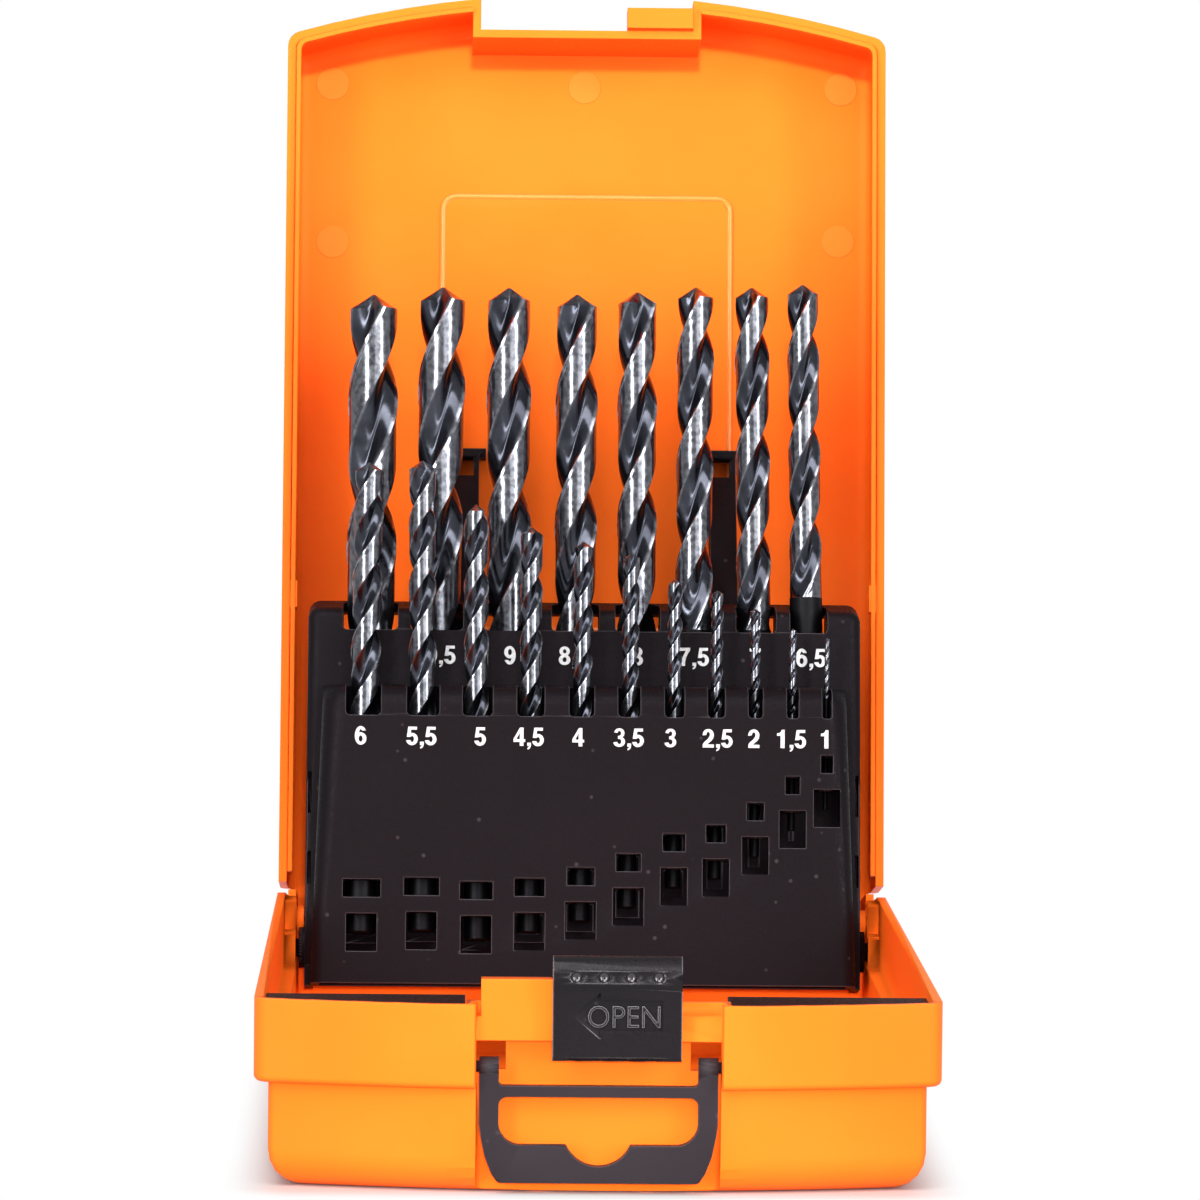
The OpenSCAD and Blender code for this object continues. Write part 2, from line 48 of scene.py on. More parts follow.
def selectOnly(piece):
    for other in list(bpy.context.selected_objects):
        other.select_set(False)
    piece.select_set(True)
    bpy.context.view_layer.objects.active = piece


def newObject(name, data):
    piece = bpy.data.objects.new(name, data)
    bpy.context.scene.collection.objects.link(piece)
    return piece


def paint(piece, material):
    piece.data.materials.clear()
    piece.data.materials.append(material)


def applyModifiers(piece):
    selectOnly(piece)
    for modifier in list(piece.modifiers):
        bpy.ops.object.modifier_apply(modifier=modifier.name)


# a value that is a socket is linked, and any other is set on the input
def addNode(tree, kind, values=None, **settings):
    node = tree.nodes.new(kind)
    for key, value in settings.items():
        setattr(node, key, value)
    for key, value in (values or {}).items():
        if isinstance(value, bpy.types.NodeSocket):
            tree.links.new(value, node.inputs[key])
        else:
            node.inputs[key].default_value = value
    return node


def newGroup(name, inputs, outputs):
    tree = bpy.data.node_groups.new(name, "ShaderNodeTree")
    for label, kind, value in inputs:
        socket = tree.interface.new_socket(name=label, in_out="INPUT", socket_type=kind)
        if value is not None:
            socket.default_value = value
    for label, kind in outputs:
        tree.interface.new_socket(name=label, in_out="OUTPUT", socket_type=kind)
    return tree, tree.nodes.new("NodeGroupInput").outputs, tree.nodes.new("NodeGroupOutput").inputs


def calc(tree, operation, a, b=0.0, clamp=False):
    return addNode(tree, "ShaderNodeMath", {0: a, 1: b}, operation=operation, use_clamp=clamp).outputs[0]


def span(tree, value, low, high, outLow=0.0, outHigh=1.0):
    return addNode(tree, "ShaderNodeMapRange",
                   {"Value": value, "From Min": low, "From Max": high, "To Min": outLow, "To Max": outHigh},
                   interpolation_type="SMOOTHSTEP").outputs[0]


def mixColour(tree, factor, a, b):
    node = addNode(tree, "ShaderNodeMix", data_type="RGBA")
    for slot, value in ((0, factor), (6, a), (7, b)):
        if isinstance(value, bpy.types.NodeSocket):
            tree.links.new(value, node.inputs[slot])
        else:
            node.inputs[slot].default_value = value
    return node.outputs[2]


def rgb(red, green, blue):
    return (red, green, blue, 1.0)


# rounded edges, in metres, and the bend that gets the painted edge highlight
edgeSet = {"radius": 0.0004, "samples": 6, "edgeHighlight": (0.02, 0.28)}
# sizes of the grain, of the drift of tone and of the specks
grainSet = {"fine": 2600.0, "slow": 34.0, "speck": 210.0, "speckEdge": (0.11, 0.05)}


# a softened normal, and a mask that is 1 on the edges, where a painted highlight goes
def buildSoftEdges():
    tree, take, give = newGroup(
        "softEdges",
        [("Reach", "NodeSocketFloat", 1.0)],
        [("Edge", "NodeSocketFloat"), ("Normal", "NodeSocketVector")])
    soft = addNode(tree, "ShaderNodeBevel", {"Radius": edgeSet["radius"]}, samples=edgeSet["samples"])
    flat = addNode(tree, "ShaderNodeNewGeometry")
    dot = addNode(tree, "ShaderNodeVectorMath", {0: soft.outputs[0], 1: flat.outputs["Normal"]},
                  operation="DOT_PRODUCT").outputs["Value"]
    bend = calc(tree, "MULTIPLY", calc(tree, "SUBTRACT", 1.0, dot), take["Reach"])
    tree.links.new(span(tree, bend, *edgeSet["edgeHighlight"]), give["Edge"])
    tree.links.new(soft.outputs[0], give["Normal"])
    return tree


# fine moulded grain, a slow drift of tone, and specks of dust
def buildMouldGrain():
    tree, take, give = newGroup(
        "mouldGrain",
        [("Fine", "NodeSocketFloat", 1.0), ("Slow", "NodeSocketFloat", 1.0)],
        [("Height", "NodeSocketFloat"), ("Tone", "NodeSocketFloat"), ("Speck", "NodeSocketFloat")])
    place = addNode(tree, "ShaderNodeTexCoord").outputs["Object"]
    fine = addNode(tree, "ShaderNodeTexNoise",
                   {"Vector": place, "Scale": calc(tree, "MULTIPLY", take["Fine"], grainSet["fine"]),
                    "Detail": 2.0, "Roughness": 0.6}).outputs["Fac"]
    slow = addNode(tree, "ShaderNodeTexNoise",
                   {"Vector": place, "Scale": calc(tree, "MULTIPLY", take["Slow"], grainSet["slow"]),
                    "Detail": 3.0, "Roughness": 0.5}).outputs["Fac"]
    speck = addNode(tree, "ShaderNodeTexVoronoi",
                    {"Vector": place, "Scale": grainSet["speck"]}).outputs["Distance"]
    tree.links.new(fine, give["Height"])
    tree.links.new(slow, give["Tone"])
    tree.links.new(span(tree, speck, *grainSet["speckEdge"]), give["Speck"])
    return tree


softEdges = buildSoftEdges()
mouldGrain = buildMouldGrain()


def newMaterial(name):
    material = bpy.data.materials.new(name)
    material.use_nodes = True
    tree = material.node_tree
    tree.nodes.clear()
    return material, tree


def showSurface(tree, shader, kind="ShaderNodeOutputMaterial"):
    tree.links.new(shader.outputs[0], addNode(tree, kind).inputs["Surface"])


# moulded plastic: base and shade drift into each other, a painted highlight lies on the edges, dust in the
# specks;
# reach widens the painted edge highlight, fine and slow set the grain's size
def mouldedPlastic(name, look):
    material, tree = newMaterial(name)
    edges = addNode(tree, "ShaderNodeGroup", node_tree=softEdges)
    grain = addNode(tree, "ShaderNodeGroup", node_tree=mouldGrain)
    edges.inputs["Reach"].default_value = look["reach"]
    grain.inputs["Fine"].default_value = look["fine"]
    grain.inputs["Slow"].default_value = look["slow"]
    tone = span(tree, grain.outputs["Tone"], 0.3, 0.7)
    colour = mixColour(tree, tone, look["shade"], look["base"])
    # the edge colour is a painted highlight on the rounded edges
    edgeHighlight = calc(tree, "MULTIPLY", edges.outputs["Edge"], look["edge"])
    colour = mixColour(tree, edgeHighlight, colour, look["edgeHighlight"])
    dust = calc(tree, "MULTIPLY", grain.outputs["Speck"], look["speck"])
    colour = mixColour(tree, dust, colour, look["dust"])
    rough = span(tree, grain.outputs["Height"], 0.3, 0.7, *look["rough"])
    bump = addNode(tree, "ShaderNodeBump",
                   {"Height": grain.outputs["Height"], "Strength": look["bump"], "Distance": 0.00004,
                    "Normal": edges.outputs["Normal"]})
    # faces marked "polish" were shaped by a polished part of the mould
    polish = addNode(tree, "ShaderNodeAttribute", attribute_name="polish").outputs["Fac"]
    rough = calc(tree, "MULTIPLY", rough, span(tree, polish, 0.0, 1.0, 1.0, 0.28))
    specular = span(tree, polish, 0.0, 1.0, look["specular"], 1.0)
    surface = addNode(tree, "ShaderNodeBsdfPrincipled",
                      {"Base Color": colour, "Roughness": rough, "Normal": bump.outputs[0],
                       "Specular IOR Level": specular, "Specular Tint": look["glint"]})
    showSurface(tree, surface)
    return material


# in each look, the colour for the edges is a painted highlight
orange = mouldedPlastic("orangePlastic", {
    "base": rgb(1.0, 0.156, 0.013), "shade": rgb(1.0, 0.143, 0.010), "edgeHighlight": rgb(1.0, 0.27, 0.05),
    "dust": rgb(1.0, 0.45, 0.15), "edge": 0.5, "reach": 1.0, "fine": 0.8, "slow": 1.0, "speck": 0.0,
    "rough": (0.38, 0.50), "bump": 0.12, "specular": 0.2, "glint": rgb(1.0, 0.6, 0.28)})
# where the mould leaves the orange polished, and where its pins left it dull and pale
# the bead's paler orange and its bright edges are painted highlight
orangePolished = mouldedPlastic("orangePolished", {
    "base": rgb(1.0, 0.20, 0.02), "shade": rgb(1.0, 0.19, 0.02), "edgeHighlight": rgb(1.0, 0.5, 0.2),
    "dust": rgb(1.0, 0.45, 0.15), "edge": 1.0, "reach": 2.0, "fine": 0.8, "slow": 1.0, "speck": 0.0,
    "rough": (0.16, 0.22), "bump": 0.05, "specular": 0.7, "glint": rgb(1.0, 0.9, 0.75)})
orangeDull = mouldedPlastic("orangeDull", {
    "base": rgb(1.0, 0.178, 0.022), "shade": rgb(1.0, 0.165, 0.018), "edgeHighlight": rgb(1.0, 0.26, 0.05),
    "dust": rgb(1.0, 0.45, 0.15), "edge": 0.3, "reach": 1.0, "fine": 1.4, "slow": 3.0, "speck": 0.0,
    "rough": (0.5, 0.62), "bump": 0.3, "specular": 0.2, "glint": rgb(1.0, 0.6, 0.3)})
black = mouldedPlastic("blackPlastic", {
    "base": rgb(0.0048, 0.0032, 0.0043), "shade": rgb(0.0036, 0.0024, 0.0034),
    "edgeHighlight": rgb(0.09, 0.08, 0.088),
    "dust": rgb(0.13, 0.11, 0.12), "edge": 0.9, "reach": 1.5, "fine": 0.7, "slow": 1.0, "speck": 0.2,
    "rough": (0.42, 0.64), "bump": 0.5, "specular": 0.11, "glint": rgb(1.0, 0.9, 0.97)})
latchBlack = mouldedPlastic("latchPlastic", {
    "base": rgb(0.0055, 0.0042, 0.0052), "shade": rgb(0.0042, 0.0033, 0.0042),
    "edgeHighlight": rgb(0.17, 0.16, 0.17),
    "dust": rgb(0.13, 0.11, 0.12), "edge": 1.0, "reach": 1.8, "fine": 0.7, "slow": 1.0, "speck": 0.1,
    "rough": (0.26, 0.40), "bump": 0.3, "specular": 0.22, "glint": rgb(1.0, 0.95, 1.0)})
handleGrey = mouldedPlastic("greyPlastic", {
    "base": rgb(0.022, 0.0175, 0.0205), "shade": rgb(0.017, 0.0135, 0.0165), "edgeHighlight": rgb(0.09, 0.08, 0.085),
    "dust": rgb(0.15, 0.14, 0.14), "edge": 0.6, "reach": 1.0, "fine": 0.7, "slow": 1.0, "speck": 0.1,
    "rough": (0.4, 0.6), "bump": 0.5, "specular": 0.13, "glint": rgb(1.0, 0.94, 0.98)})
print("materials for the mouldings made")


# drills: polished black oxide, with brighter ground margins and point, and a duller shank
steelSet = {
    "oxide": (rgb(0.033, 0.035, 0.045), rgb(0.066, 0.070, 0.088)),
    "bright": (rgb(0.30, 0.31, 0.35), rgb(0.52, 0.53, 0.58)),
    "shank": rgb(0.012, 0.012, 0.014),
    "rough": (0.15, 0.24), "shankRough": 0.3,
    "scratch": 900.0, "cloud": 150.0,
}


def steelNoise(tree, place, scale, detail):
    values = {"Vector": place, "Scale": scale, "Detail": detail}
    return addNode(tree, "ShaderNodeTexNoise", values).outputs["Fac"]


def drillSteel():
    material, tree = newMaterial("drillSteel")
    ground = addNode(tree, "ShaderNodeAttribute", attribute_name="ground").outputs["Fac"]
    shank = addNode(tree, "ShaderNodeAttribute", attribute_name="shank").outputs["Fac"]
    place = addNode(tree, "ShaderNodeTexCoord").outputs["Object"]
    scratch = steelNoise(tree, place, steelSet["scratch"], 3.0)
    cloud = steelNoise(tree, place, steelSet["cloud"], 2.0)
    oxide = mixColour(tree, span(tree, cloud, 0.35, 0.65), *steelSet["oxide"])
    bright = mixColour(tree, span(tree, scratch, 0.3, 0.7), *steelSet["bright"])
    show = calc(tree, "MULTIPLY", ground, span(tree, scratch, 0.2, 0.6, 0.6, 1.0), clamp=True)
    colour = mixColour(tree, shank, mixColour(tree, show, oxide, bright), steelSet["shank"])
    sheen = span(tree, scratch, 0.3, 0.7, *steelSet["rough"])
    rough = calc(tree, "ADD", sheen, calc(tree, "MULTIPLY", shank, steelSet["shankRough"]))
    bump = addNode(tree, "ShaderNodeBump", {"Height": scratch, "Strength": 0.2, "Distance": 0.00002})
    surface = addNode(tree, "ShaderNodeBsdfPrincipled",
                      {"Base Color": colour, "Metallic": 0.95, "Roughness": rough,
                       "Normal": bump.outputs[0]})
    showSurface(tree, surface)
    return material


def plainPaint(name, low, high, rough):
    material, tree = newMaterial(name)
    grain = addNode(tree, "ShaderNodeGroup", node_tree=mouldGrain)
    colour = mixColour(tree, span(tree, grain.outputs["Height"], 0.35, 0.65), low, high)
    drift = span(tree, grain.outputs["Height"], 0.3, 0.7, rough - 0.08, rough + 0.08)
    surface = addNode(tree, "ShaderNodeBsdfPrincipled", {"Base Color": colour, "Roughness": drift})
    showSurface(tree, surface)
    return material


steel = drillSteel()
ink = plainPaint("whiteInk", rgb(0.52, 0.52, 0.53), rgb(0.66, 0.66, 0.67), 0.6)


# the case's mouldings: how near the copy's points are to be merged, and what angle still looks round
mouldSet = {"merge": 0.0000004, "smooth": 32, "lidSmooth": 18}


# a smoothed copy of a CAD node
def dressNode(name, body, material, angle=mouldSet["smooth"]):
    piece = newObject(name + "_moulding", nodes[name].data.copy())
    paint(piece, material)
    selectOnly(piece)
    bpy.ops.object.mode_set(mode="EDIT")
    bpy.ops.mesh.select_all(action="SELECT")
    bpy.ops.mesh.remove_doubles(threshold=mouldSet["merge"])
    bpy.ops.object.mode_set(mode="OBJECT")
    bpy.ops.object.shade_smooth_by_angle(angle=math.radians(angle))
    weigh = piece.modifiers.new("faceWeight", "WEIGHTED_NORMAL")
    weigh.mode = "FACE_AREA"
    weigh.keep_sharp = True
    weigh.weight = 100
    applyModifiers(piece)
    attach(piece, body)
    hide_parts(name)
    return piece


# gives the faces inside the latch's round dimples a polish
dimpleSet = {"count": 4, "first": -4.1, "pitch": 4.75, "height": 38.7, "radius": 1.25}


def polishDimples(piece):
    radius = dimpleSet["radius"]
    centres = [(dimpleSet["first"] + dimpleSet["pitch"] * k, dimpleSet["height"])
               for k in range(dimpleSet["count"])]
    marks = []
    for face in piece.data.polygons:
        corners = [piece.data.vertices[i].co for i in face.vertices]
        marks.append(1.0 if any(all(math.hypot(c.x - x * mm, c.z - z * mm) < radius * mm for c in corners)
                                for x, z in centres) else 0.0)
    piece.data.attributes.new("polish", "FLOAT", "FACE").data.foreach_set("value", marks)


dressNode("base_shell", "base", orange)
dressNode("lid_shell", "lid", orange, mouldSet["lidSmooth"])
dressNode("tip_guard", "base", black)
for name in ("bit_holder", "front_rack", "prop_arms"):
    dressNode(name, "holder", black)
polishDimples(dressNode("latch_slider", "latch", latchBlack))
dressNode("carry_handle", "handle", handleGrey)
print("mouldings dressed")


# twist drills, in mm and degrees, in the holder's own place
drillSet = {
    "rearLine": -1.4, "frontLine": -13.0,       # the two rows, back from the tilt pins
    "rearTop": 67.0, "frontTop": 51.0,          # tops of the two tiers
    "helix": (28.5, 35), "largeFrom": 6.5,      # large and small drills
    "perLead": (44, 26), "fineFrom": 3.5,       # rings in one lead
    "runOut": 1.5, "opening": 0.6,              # of the flutes, in diameters, and how fast they deepen
    "foot": 0.9, "chamfer": 0.1, "shankSize": 0.995, "fluteSize": 0.99,      # parts of the radius
    "point": 118,
    # rings of the point: how far below the tip in parts of its height, size, extra turn, depth
    "tip": [(0.45, 0.45, 0.05, 1.0), (0.02, 0.07, 0.1, 0.8)],
    # how far each drill is turned at its tip, in the row's order
    "rearTurn": (153, 153, 171, 179, 18, 140, 150, 165),
    "frontTurn": (150, 20, 95, 60, 130, 10, 80, 170, 40, 110, 0),
    # diameter, overall length, flute length, socket's x, foot's height, sideways lean
    "rear": [
        (10, 133, 87, -42.3, -2.8, 0), (9.5, 125, 81, -29.2, 6.8, 0.4), (9, 125, 81, -14.9, 6.8, -0.3),
        (8.5, 117, 75, -1.8, 13.6, 0), (8, 117, 75, 10.5, 14.2, -0.2), (7.5, 109, 69, 21.7, 23.3, 0.1),
        (7, 109, 69, 33.9, 23.3, -0.6), (6.5, 101, 63, 44.3, 32, -0.8)],
    "front": [
        (6, 93, 57, -43.4, 2, 0.6), (5.5, 93, 57, -31.7, 2.4, -0.5), (5, 86, 52, -21, 0.8, -0.6),
        (4.5, 80, 47, -10.6, 2.4, 0), (4, 75, 43, -0.6, 4.6, 0.3), (3.5, 70, 39, 8.7, 7.4, 0.5),
        (3, 61, 33, 17.6, 11.4, 0.2), (2.5, 57, 30, 25.8, 13.2, 0.4), (2, 49, 24, 33.5, 17.6, 0.1),
        (1.5, 40, 18, 40.8, 22.8, 0.4), (1, 34, 12, 47.5, 27, 0.6)],
    # the section: parts of the radius, the flute's angles, and where across it the flute is deepest
    "land": 0.95, "core": 0.4, "flute": (40, 140), "deepest": 0.6,
    "shine": {"margin": 0.8, "land": 0.4, "flute": 0.0, "point": 0.3}, "pointDull": 0.4,
    "standOff": 0.02, "smooth": 38,
}


# half of the fluted section: angle, part of the radius, how bright it is
def fluteSection():
    shine = drillSet["shine"]
    land = drillSet["land"]
    start, end = drillSet["flute"]
    section = [(-40, 1.0, shine["margin"]), (-36, 1.0, shine["margin"]), (-32.5, 1.0, shine["margin"])]
    section += [(angle, land, shine["land"]) for angle in (-31.8, -22, -12, -2, 8, 18, 28, 34, start)]
    for k in range(1, 15):
        u = k / 15
        if u < drillSet["deepest"]:
            edge, reach = land, u / drillSet["deepest"]
        else:
            edge, reach = 1.0, (1 - u) / (1 - drillSet["deepest"])
        part = edge - (edge - drillSet["core"]) * math.sin(math.pi / 2 * reach)
        section.append((start + (end - start) * u, part, shine["flute"]))
    return section


halfSection = fluteSection()


# one cross-section at height z, from the round shank (depth 0) to full flutes (depth 1)
def sectionRing(radius, z, turn, depth, scale=1.0):
    ring = []
    for half in (0, 180):
        for angle, part, ground in halfSection:
            reach = radius * scale * (1 - depth * (1 - part))
            a = math.radians(angle + half) + turn
            ring.append((reach * math.cos(a), reach * math.sin(a), z))
    return ring


# rings from the chamfered foot up, in three lists: shank, flutes and point
def drillRings(size, overall, fluteLength, tipTurn):
    r = size / 2
    pointHeight = r / math.tan(math.radians(drillSet["point"] / 2))
    helix = drillSet["helix"][0 if size >= drillSet["largeFrom"] else 1]
    lead = 2 * math.pi * r / math.tan(math.radians(helix))
    fluteStart = overall - fluteLength
    body = fluteLength - pointHeight
    perLead = drillSet["perLead"][0 if size >= drillSet["fineFrom"] else 1]
    steps = max(10, int(perLead * body / lead))
    runOut = drillSet["runOut"] * size
    endTurn = math.radians(tipTurn)
    startTurn = endTurn - 2 * math.pi * body / lead
    shankSize = r * drillSet["shankSize"]
    shankRings = [sectionRing(r * drillSet["foot"], 0, startTurn, 0),
                  sectionRing(shankSize, drillSet["chamfer"] * r, startTurn, 0),
                  sectionRing(shankSize, fluteStart - 0.01, startTurn, 0)]
    fluteRings = []
    for k in range(steps + 1):
        h = body * k / steps
        depth = min(1, h / runOut) ** drillSet["opening"]
        fluteRings.append(sectionRing(r * drillSet["fluteSize"], fluteStart + h,
                                      startTurn + 2 * math.pi * h / lead, depth))
    pointRings = [sectionRing(r, overall - below * pointHeight, endTurn + turn, depth, scale)
                  for below, scale, turn, depth in drillSet["tip"]]
    return shankRings, fluteRings, pointRings


def makeDrill(spec, line, tierTop, tipTurn, name):
    size, overall, fluteLength, x, foot, sideLean = spec
    parts = drillRings(size, overall, fluteLength, tipTurn)
    rings = [ring for part in parts for ring in part]
    count = len(rings[0])
    points = [(px * mm, py * mm, pz * mm) for ring in rings for px, py, pz in ring]
    faces = [tuple(reversed(range(count))), tuple(range((len(rings) - 1) * count, len(rings) * count))]
    for k in range(len(rings) - 1):
        for i in range(count):
            j = (i + 1) % count
            faces.append((k * count + i, k * count + j, (k + 1) * count + j, (k + 1) * count + i))
    mesh = bpy.data.meshes.new(name + "_drill")
    mesh.from_pydata(points, [], faces)
    # how bright and how dull the rings of the shank, the flutes and the point are
    profile = [g for half in (0, 1) for angle, part, g in halfSection]
    pointShine = [drillSet["shine"]["point"]] * count
    looks = (([0.0] * count, 1.0), (profile, 0.0), (pointShine, drillSet["pointDull"]))
    bright, dull = [], []
    for part, (ringShine, ringDull) in zip(parts, looks):
        bright += ringShine * len(part)
        dull += [ringDull] * (count * len(part))
    mesh.attributes.new("ground", "FLOAT", "POINT").data.foreach_set("value", bright)
    mesh.attributes.new("shank", "FLOAT", "POINT").data.foreach_set("value", dull)
    piece = newObject(name + "_drill", mesh)
    mesh.materials.append(steel)
    leanHeight = (tierTop - foot) / 2 * mm
    # a leaning drill stands on its edge
    rise = (size / 2 * math.sin(math.radians(abs(sideLean))) + drillSet["standOff"]) * mm
    mesh.transform(
        holderPlace @ Matrix.Translation((x * mm, line * mm, foot * mm + rise + leanHeight))
        @ Matrix.Rotation(math.radians(sideLean), 4, "Y") @ Matrix.Translation((0, 0, -leanHeight)))
    selectOnly(piece)
    bpy.ops.object.shade_smooth_by_angle(angle=math.radians(drillSet["smooth"]))
    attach(piece, name)
    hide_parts(name)
    return piece


def drillName(size):
    return "bit_%d_%d" % (int(size), round(size % 1 * 10))


for row in ("rear", "front"):
    for spec, tipTurn in zip(drillSet[row], drillSet[row + "Turn"]):
        makeDrill(spec, drillSet[row + "Line"], drillSet[row + "Top"], tipTurn, drillName(spec[0]))
print("drills made")


# sizes printed on the two tiers
labelSet = {
    "height": 3.6, "wide": 1.14, "thick": 0.03, "lift": 0.02, "step": 0.62, "comma": 0.27,
    "front": (-18.5, 38.65), "rear": (-8.5, 55.7),    # face, and foot of the digits above the pins
    "frontMarks": {"6": -43.9, "5,5": -32.0, "5": -20.5, "4,5": -11.0, "4": -1.3, "3,5": 8.6, "3": 16.8,
                   "2,5": 26.0, "2": 33.1, "1,5": 40.4, "1": 47.0},
    "rearMarks": {"10": -43.0, "9,5": -28.4, "9": -14.7, "8,5": -2.1, "8": 10.4, "7,5": 21.6, "7": 33.7,
                  "6,5": 44.7},
}


def arc(cx, cy, rx, ry, start, end, count=14):
    turns = [math.radians(start + (end - start) * k / count) for k in range(count + 1)]
    return [(cx + rx * math.cos(a), cy + ry * math.sin(a)) for a in turns]


# outlines of the digits in a box 0.56 wide and 1 high; loops after the first are holes
digitWidth = 0.56


def halfTurn(loop):
    return [(digitWidth - x, 1 - y) for x, y in loop]


six = [
    arc(0.29, 0.5, 0.285, 0.51, 32, 262, 22) + arc(0.285, 0.33, 0.275, 0.34, -84, 116, 20)
    + arc(0.29, 0.5, 0.095, 0.345, 165, 50, 10),
    arc(0.285, 0.325, 0.095, 0.175, 0, 345, 20)]
glyphs = {
    "0": [arc(0.28, 0.5, 0.275, 0.51, 0, 350, 30), arc(0.28, 0.5, 0.09, 0.345, 0, 345, 22)],
    "1": [[(0.42, 0), (0.42, 1), (0.28, 1), (0.235, 0.88), (0.16, 0.825), (0.06, 0.81), (0.06, 0.67),
           (0.225, 0.67), (0.225, 0)]],
    "2": [[(0.01, 0), (0.55, 0), (0.55, 0.17), (0.25, 0.17), (0.32, 0.27), (0.44, 0.38), (0.52, 0.51)]
          + arc(0.28, 0.7, 0.265, 0.31, -15, 188, 20) + arc(0.275, 0.7, 0.085, 0.155, 185, -35, 12)
          + [(0.25, 0.45), (0.11, 0.32), (0.03, 0.19)]],
    "3": [arc(0.275, 0.745, 0.245, 0.265, 172, -46, 18) + arc(0.27, 0.275, 0.28, 0.285, 55, -172, 22)
          + arc(0.275, 0.285, 0.1, 0.145, -170, 78, 14) + [(0.21, 0.435), (0.21, 0.585)]
          + arc(0.275, 0.735, 0.085, 0.13, -75, 172, 14)],
    "4": [[(0.3, 0), (0.48, 0), (0.48, 0.215), (0.56, 0.215), (0.56, 0.365), (0.48, 0.365), (0.48, 1),
           (0.31, 1), (0.0, 0.38), (0.0, 0.215), (0.3, 0.215)],
          [(0.3, 0.365), (0.14, 0.365), (0.3, 0.71)]],
    "5": [[(0.1, 1), (0.03, 0.44), (0.19, 0.44)] + arc(0.285, 0.325, 0.09, 0.17, 125, -160, 14)
          + arc(0.275, 0.325, 0.28, 0.335, -168, 104, 24)
          + [(0.215, 0.63), (0.24, 0.84), (0.51, 0.84), (0.51, 1)]],
    "6": six,
    "7": [[(0.02, 1), (0.54, 1), (0.54, 0.85), (0.43, 0.67), (0.35, 0.45), (0.31, 0.22), (0.3, 0), (0.1, 0),
           (0.12, 0.24), (0.19, 0.5), (0.34, 0.83), (0.02, 0.83)]],
    "8": [arc(0.28, 0.275, 0.28, 0.285, -90, 64, 16) + arc(0.28, 0.745, 0.25, 0.265, -54, 234, 24)
          + arc(0.28, 0.275, 0.28, 0.285, 116, 262, 16),
          arc(0.28, 0.745, 0.085, 0.12, 0, 340, 16), arc(0.28, 0.285, 0.1, 0.14, 0, 340, 16)],
    "9": [halfTurn(loop) for loop in six],
    ",": [[(0.04, 0.18), (0.22, 0.18), (0.22, 0.02), (0.19, -0.09), (0.12, -0.17), (0.05, -0.19),
           (0.05, -0.11), (0.1, -0.07), (0.125, 0), (0.04, 0)]],
}


def makeNumber(words, name):
    curve = bpy.data.curves.new(name, "CURVE")
    curve.dimensions = "2D"
    curve.fill_mode = "BOTH"
    curve.extrude = labelSet["thick"] * mm
    tall = labelSet["height"] * mm
    steps = [labelSet["comma"] if sign == "," else labelSet["step"] for sign in words]
    x = -(sum(steps) - steps[-1] + (0.48 if words == "1" else digitWidth)) / 2
    for sign, wide in zip(words, steps):
        for loop in glyphs[sign]:
            spline = curve.splines.new("POLY")
            spline.points.add(len(loop) - 1)
            for point, (px, py) in zip(spline.points, loop):
                point.co = ((x + px) * tall * labelSet["wide"], py * tall, 0, 1)
            spline.use_cyclic_u = True
        x += wide
    selectOnly(newObject(name, curve))
    bpy.ops.object.convert(target="MESH")
    piece = bpy.context.object
    paint(piece, ink)
    return piece


# the number lies in its own XY; this stands it on a face of the holder that looks forward
upright = Matrix.Rotation(math.radians(90), 4, "X")


def placeOnFace(piece, x, face, up):
    place = Matrix.Translation((x * mm, (face - labelSet["lift"]) * mm, up * mm))
    piece.data.transform(holderPlace @ place @ upright)


for row, face in (("frontMarks", "front"), ("rearMarks", "rear")):
    for words, x in labelSet[row].items():
        mark = makeNumber(words, face + "_mark_" + words.replace(",", "_"))
        placeOnFace(mark, x, *labelSet[face])
        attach(mark, "holder")
print("printed sizes made")


# raised word in the latch's arrow
latchSet = {"height": 4.0, "thick": 0.3, "wide": 0.92, "capital": 0.729, "place": (4.3, -95.95, 29.85)}


def makeLatchWord():
    bpy.ops.object.text_add()
    piece = bpy.context.object
    piece.name = "latch_word"
    piece.data.body = "OPEN"
    piece.data.align_x = "CENTER"
    piece.data.size = 1.0
    piece.data.resolution_u = 4
    selectOnly(piece)
    bpy.ops.object.convert(target="MESH")
    piece = bpy.context.object
    tall = latchSet["height"] / latchSet["capital"] * mm
    piece.data.transform(Matrix.Diagonal((tall * latchSet["wide"], tall, tall, 1)))
    grow = piece.modifiers.new("thick", "SOLIDIFY")
    grow.thickness = latchSet["thick"] * mm
    grow.offset = 1.0
    applyModifiers(piece)
    paint(piece, latchBlack)
    piece.data.transform(Matrix.Translation(Vector(latchSet["place"]) * mm) @ upright)
    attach(piece, "latch")


makeLatchWord()
print("latch word made")


# inside of the lid: the bead round its pad, and the marks of the mould's ejector pins
lidSet = {
    "hinge": (91.2, 28.3), "turn": 100,          # y, z of the pins, and how far the lid stands open
    "depth": 25.2,                               # inner face, from the pins
    "pad": (-28.7, 29.7, 60.7, 149.3), "corner": 2.6, "padRise": 0.55,
    "beadWidth": 1.1, "beadHeight": 0.24,
    "pins": [(-51.5, 172.4), (-0.1, 172.1), (52.2, 172.2), (-51.2, 139.8), (51.7, 140.8)],
    "pinSize": 6.8, "pinHeight": 0.06, "smooth": 40,
}
# x across, y up the lid, z out of its inner face
lidPlace = (Matrix.Translation((0, lidSet["hinge"][0] * mm, lidSet["hinge"][1] * mm))
            @ Matrix.Rotation(math.radians(180 - lidSet["turn"]), 4, "X")
            @ Matrix.Translation((0, 0, -lidSet["depth"] * mm)))


